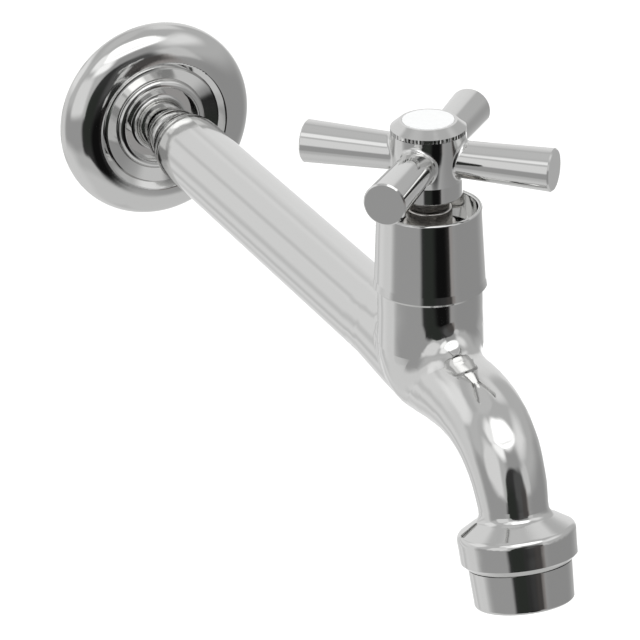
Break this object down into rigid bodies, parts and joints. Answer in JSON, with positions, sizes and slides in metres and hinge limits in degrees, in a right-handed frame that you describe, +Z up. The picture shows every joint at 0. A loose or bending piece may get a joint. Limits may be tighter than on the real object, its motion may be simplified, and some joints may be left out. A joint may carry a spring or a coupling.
{
  "type": "wall-mounted tap",
  "caption": "Chromed wall tap: long level tube from a domed flange, upright screw-down valve, cross handle with a knurled cap, curved spout and aerator.",
  "frame": {"origin": "the tube's axis where it crosses the plane of the wall, on the wall thread's axis", "axes": "+Y into the wall along the thread, so the tap reaches out along -Y; +Z up; +X to the right of someone facing the wall"},
  "size_m": [0.0642, 0.2849, 0.1215],
  "materials": {
    "polished_chrome": "polished chrome plate on brass",
    "turned_brass": "turned, unplated",
    "satin_nickel": "turned brass with a satin nickel plate",
    "black_rubber": "moulded nitrile rubber",
    "red_fibre": "pressed fibre, matte",
    "zinc_steel": "zinc-plated steel",
    "stainless_mesh": "woven stainless wire",
    "white_plastic": "glossy white, bare",
    "nozzle_plastic": "moulded acetal"
  },
  "bodies": {
    "tap_body": {"body_casting": "polished_chrome", "escutcheon": "polished_chrome", "bonnet_cover": "polished_chrome", "bonnet_gasket": "red_fibre", "bonnet": "satin_nickel", "gland_packing": "black_rubber", "packing_washer": "turned_brass", "gland_nut": "satin_nickel", "aerator_housing": "polished_chrome", "aerator_seal": "black_rubber", "aerator_flow_plate": "nozzle_plastic", "aerator_screens": "stainless_mesh", "aerator_nozzle": "nozzle_plastic"},
    "jumper": {"jumper": "turned_brass", "tap_washer": "black_rubber", "washer_nut": "turned_brass"},
    "handle": {"spindle": "satin_nickel", "handle_cross": "polished_chrome", "handle_screw_washer": "zinc_steel", "handle_screw": "zinc_steel", "index_cap": "polished_chrome", "index_disc": "white_plastic"}
  },
  "joints": [
    {"name": "spindle_lift", "type": "slide", "parent": "tap_body", "child": "jumper", "axis": [0, 0, 1], "range_m": [0, 0.00326]},
    {"name": "handle_turn", "type": "hinge", "parent": "jumper", "child": "handle", "pos_m": [0, -0.2035, 0.062], "axis": [0, 0, 1], "range_deg": [0, 585]}
  ],
  "couplings": [
    {"joint": "spindle_lift", "follows": "handle_turn", "m_per_rad": 0.00031831}
  ]
}
